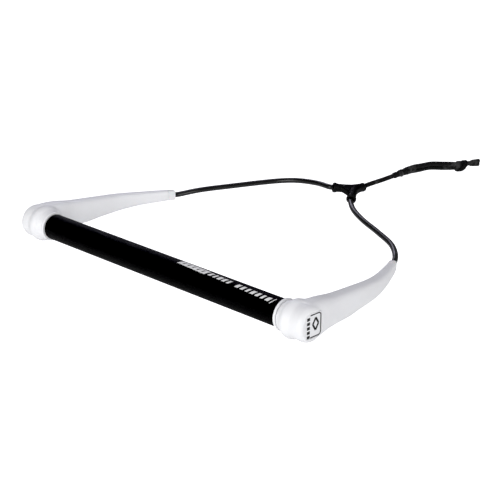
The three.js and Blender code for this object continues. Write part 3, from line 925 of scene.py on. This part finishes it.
def strand_paths(splice_start):
    """The loop's two strands: wound together in the splice, then side by side to the knot."""
    third, fourth = LINE_BENDS[2:]
    knot_start = KNOT_CENTRE + unit(fourth - KNOT_CENTRE) * (KNOT_HALF - 3)
    stops = [splice_start, third, fourth, knot_start]
    halfway = [(a + b) / 2 for a, b in zip(stops, stops[1:])]
    through = [point for pair in zip(stops, halfway) for point in pair]
    spine = curve([*through, knot_start], ROPE_STEP)
    along = np.arange(len(spine)) * np.linalg.norm(spine[1] - spine[0])
    end, total = SPLICE_LENGTH, along[-1]
    offset = np.interp(along, [0, 6, 14, 22, end - 4, end + 10, end + 26, total - 20, total - 8, total],
                       [1.2, 1.8, 2.3, 2.5, 2.6, 2.8, 2.85, 2.85, 2.7, 2.2])
    radius = np.interp(along, [0, 6, 14, end, end + 8], [2.2, 2.3, 2.4, 2.4, STRAND_RADIUS])
    turn = np.radians(np.interp(along, [0, end - 6, end + 8, end + 26, total], [-440, -15, 8, 20, 12]))
    side, up = upright_frames(spine)
    away = side * np.sin(turn)[:, None] + up * np.cos(turn)[:, None]
    paths = {name: spine + away * (offset * level)[:, None] for name, level in (("lower", -1), ("upper", 1))}
    return spine, radius, paths


def build_loop(splice_start):
    """The splice, with its two turns round a core, and both strands in two lengths each."""
    spine, radius, strands = strand_paths(splice_start)
    third, fourth = LINE_BENDS[2:]
    splice_end = nearest(spine, third - unit(third - splice_start) * STRAND_GAP_AT_BEND)
    half = nearest(spine, (third + fourth) / 2)
    hidden = splice_end - 9  # each strand starts a few rings inside the splice
    along = np.linspace(0, 1, splice_end + 1)
    core = np.interp(along, [0, 0.06, 0.3, 0.55, 0.72, 0.9, 1], [2.8, 3.4, 3.7, 4.0, 4.6, 3.7, 3.2])
    wound = [loft_mesh("core", braided_rings(spine[: splice_end + 1], core, depth=0.5))]
    for path in strands.values():
        rings = braided_rings(path[: splice_end + 1], radius[: splice_end + 1], round_ends=True, depth=0.5)
        wound.append(loft_mesh("turn", rings))
    splice = show("splice", relaxed(fused(wound, 0.24), 1), BRAID, 60)
    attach(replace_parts(splice, "line_splice"), "line")
    for name, path in strands.items():
        rings = braided_rings(path, radius)
        front_mesh = loft_mesh("strand", rings[hidden : half + 1])
        back_mesh = loft_mesh("strand", rings[half:])
        front = show(f"strand_{name}_front", front_mesh, BRAID)
        crossing(front, fourth - third)
        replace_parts(front, f"loop_strand_{name}_front")
        back = show(f"strand_{name}_back", back_mesh, BRAID)
        crossing(back, KNOT_CENTRE - fourth)
        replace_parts(back, f"loop_strand_{name}_back")


def build_knot():
    """Both strands wound round themselves in one tie that leans forward, over a core that fills it."""
    along = unit(TAIL_END - LINE_BENDS[3])
    side = unit(np.array([along[1], -along[0], 0]))
    up = np.cross(side, along)
    share = np.linspace(0, 1, 30)
    turn = np.radians(KNOT_FIRST_TURN + KNOT_TURNS * 360 * share)
    swell = np.sin(math.pi * np.clip(share * 1.15, 0, 1)) ** 0.35
    bight = 1 + BIGHT_RISE * np.exp(-((share - BIGHT_AT) / 0.08) ** 2)
    reach = KNOT_TIE_RADIUS * swell * bight
    height, width = reach * np.sin(turn), reach * 1.05 * np.cos(turn)
    forward = (share - 0.5) * 2 * KNOT_REACH + height * KNOT_LEAN
    tie = KNOT_CENTRE + np.outer(forward, along) + np.outer(width, side) + np.outer(height, up)
    entry, leaving = KNOT_CENTRE - along * KNOT_HALF, TAIL_START
    path = curve([entry, *tie, leaving], ROPE_STEP)
    pieces = []
    for level in (-1, 1):
        beside = path + along * KNOT_PAIR_OFFSET * level
        beside = resample(beside, len(beside))
        rings = braided_rings(beside, KNOT_ROPE, carried_frames, depth=0.5, round_ends=True)
        pieces.append(loft_mesh("tie", rings))
    core = curve([entry, KNOT_CENTRE, leaving], ROPE_STEP)
    fill = np.interp(np.linspace(0, 1, len(core)), [0, 0.2, 0.5, 0.85, 1], [4.0, 5.0, 5.4, 4.2, 2.9])
    pieces.append(loft_mesh("core", rings_along(core, circles(fill, 32))))
    knot = show("knot", relaxed(fused(pieces, 0.26), 1), BRAID, 60)
    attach(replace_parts(knot, "tow_knot"), "loop_back")


def build_tail():
    """Two rope ends that leave the knot side by side and turn one above the other, cut square."""
    points = [TAIL_START - [0.4, 3, -0.3], TAIL_START, TAIL_START * 0.6 + TAIL_END * 0.4, TAIL_END]
    path = curve(points, ROPE_STEP)
    share = np.linspace(0, 1, len(path))
    side, up = upright_frames(path)
    turn = np.interp(share, [0, 0.3, 0.5, 1], [1.2, 1.0, 0.15, 0])
    away = side * np.sin(turn)[:, None] + up * np.cos(turn)[:, None]
    offset = np.interp(share, [0, 0.28, 0.5, 1], [1.2, 1.2, 1.9, 2.3])[:, None]
    radius = np.interp(share, [0, 0.28, 0.5, 0.97, 1], [3.0, 2.7, 2.6, 2.7, 2.4])
    paths = [path + away * offset * level for level in (-1, 1)]
    ends = [loft_mesh("end", braided_rings(end_path, radius, depth=0.35)) for end_path in paths]
    ends.append(loft_mesh("middle", rings_along(path, circles(radius * 0.8, 24))))
    tail = show("tail", relaxed(fused(ends, 0.22), 1), BRAID, 60)
    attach(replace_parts(tail, "tow_tail"), "loop_back")


# ---------- CAD nodes that stay, with their own finishes ----------
def finish_cad_nodes():
    kept = {"bar_tube": ALLOY, "bar_plug_left": GRIP, "bar_plug_right": GRIP,
            "bridle_rope_in_bar": CORE, "yoke_rope_splice": CORE}
    for node, material in kept.items():
        for place in frame["nodes"][node].material_slots:
            place.material = material


# ---------- stage ----------
# The camera stands behind the bar, to its right and above it.
VIEW_AZIMUTH, VIEW_ELEVATION, VIEW_ROLL = (math.radians(angle) for angle in (44.17, 20.48, 0.315))
VIEW_DISTANCE = 1.3722  # metres
VIEW_OFFSET = (93.11, 17.72)  # mm right and up from the bar's centre to the middle of the view
LENS = 95.75
LIT_PLACE = (0, 200, 0)  # the lights face this place, in mm
FLOOR_DROP, FLOOR_RADIUS = 0.42, 14  # metres
LAVENDER = (0.84, 0.82, 1.0)
EXPOSURE, BLACK_LEVEL = 0.2, 0.007


def view_axes():
    """Directions to the right of, up in and back out of the camera's view, before its roll."""
    a, e = VIEW_AZIMUTH, VIEW_ELEVATION
    back = np.array([math.sin(a) * math.cos(e), -math.cos(a) * math.cos(e), math.sin(e)])
    right = np.array([math.cos(a), math.sin(a), 0])
    return right, np.cross(back, right), back


def add_camera():
    right, up, back = view_axes()
    aim = world(VIEW_OFFSET[0] * right + VIEW_OFFSET[1] * up)
    camera = bpy.data.objects.new("camera", bpy.data.cameras.new("camera"))
    camera.data.lens, camera.data.sensor_width = LENS, 36
    camera.location = Vector(aim + back * VIEW_DISTANCE)
    turn = Quaternion(Vector(back), VIEW_ROLL)
    camera.rotation_euler = (turn @ Vector(-back).to_track_quat("-Z", "Y")).to_euler()
    bpy.context.scene.collection.objects.link(camera)
    bpy.context.scene.camera = camera


def add_light(name, towards, distance, width, power, colour=(1, 1, 1), shine=1.0):
    """A soft square panel, seen from the object in the given direction."""
    light = bpy.data.lights.new(name, "AREA")
    light.size, light.energy, light.color, light.specular_factor = width, power, colour, shine
    obj = bpy.data.objects.new(name, light)
    direction = Vector(unit(np.asarray(towards, float)))
    obj.location = Vector(world(LIT_PLACE)) + direction * distance
    obj.rotation_euler = direction.to_track_quat("Z", "Y").to_euler()
    bpy.context.scene.collection.objects.link(obj)


def add_world():
    """White to the camera, dimmer to the object, and dimmer still in its reflections."""
    sky = bpy.data.worlds.new("studio")
    sky.use_nodes = True
    tree = sky.node_tree
    path = tree.nodes.new("ShaderNodeLightPath")
    level = tree.nodes.new("ShaderNodeMapRange")
    level.inputs["To Min"].default_value = 0.30
    level.inputs["To Max"].default_value = 0.10
    tree.links.new(path.outputs["Is Glossy Ray"], level.inputs["Value"])
    seen = tree.nodes.new("ShaderNodeMath")
    seen.operation = "MAXIMUM"
    tree.links.new(level.outputs[0], seen.inputs[0])
    tree.links.new(path.outputs["Is Camera Ray"], seen.inputs[1])
    tree.links.new(seen.outputs[0], tree.nodes["Background"].inputs["Strength"])
    tree.nodes["Background"].inputs["Color"].default_value = (1, 1, 1, 1)
    bpy.context.scene.world = sky


def add_floor():
    """A pale round floor far enough below that the swung bridle clears it."""
    n = Nodes("floor")
    speck = n.noise(n.place(), 0.02)
    seen = n.add("LightPath").outputs["Is Camera Ray"]
    base = n.blend(n.spread(speck, 0, 1), grey(0.88), grey(0.9))
    n.set(Base_Color=base, Roughness=0.9, Specular_IOR_Level=0.1)
    n.set(Emission_Color=(1, 1, 1, 1), Emission_Strength=n.math("MULTIPLY", seen, 0.75))
    disc = bmesh.new()
    bmesh.ops.create_circle(disc, cap_ends=True, segments=96, radius=FLOOR_RADIUS)
    mesh = bpy.data.meshes.new("floor")
    disc.to_mesh(mesh)
    disc.free()
    mesh.materials.append(n.material)
    floor = bpy.data.objects.new("floor", mesh)
    floor.location = (0, 0, -FLOOR_DROP)
    bpy.context.scene.collection.objects.link(floor)


def add_lights():
    right, up, back = view_axes()
    add_light("key", back * 1.0 - right * 0.6 - up * 0.1, 2.2, 1.3, 27)
    add_light("fill", back * 0.55 + right * 0.95 - up * 0.1, 2.2, 1.2, 14)
    add_light("top", [0, 0.3, 1], 2.0, 1.4, 5, LAVENDER, 0.3)
    add_light("rim", -back * 0.75 + up * 0.8 - right * 0.2, 2.0, 0.8, 4, LAVENDER, 0.4)


def set_tones():
    """A bright studio print: whites lifted, and the deepest blacks closed up."""
    view = bpy.context.scene.view_settings
    view.view_transform = "Standard"
    view.exposure = EXPOSURE
    view.use_curve_mapping = True
    view.curve_mapping.black_level = [BLACK_LEVEL] * 3


build_grip()
build_grip_marks()
for side_name, side_sign in SIDES:
    build_collar(side_name, side_sign)
    build_arm(side_name, side_sign)
build_left_leg()
build_right_leg()
build_yoke()
build_loop(build_line())
build_knot()
build_tail()
finish_cad_nodes()
add_floor()
add_world()
add_lights()
add_camera()
set_tones()
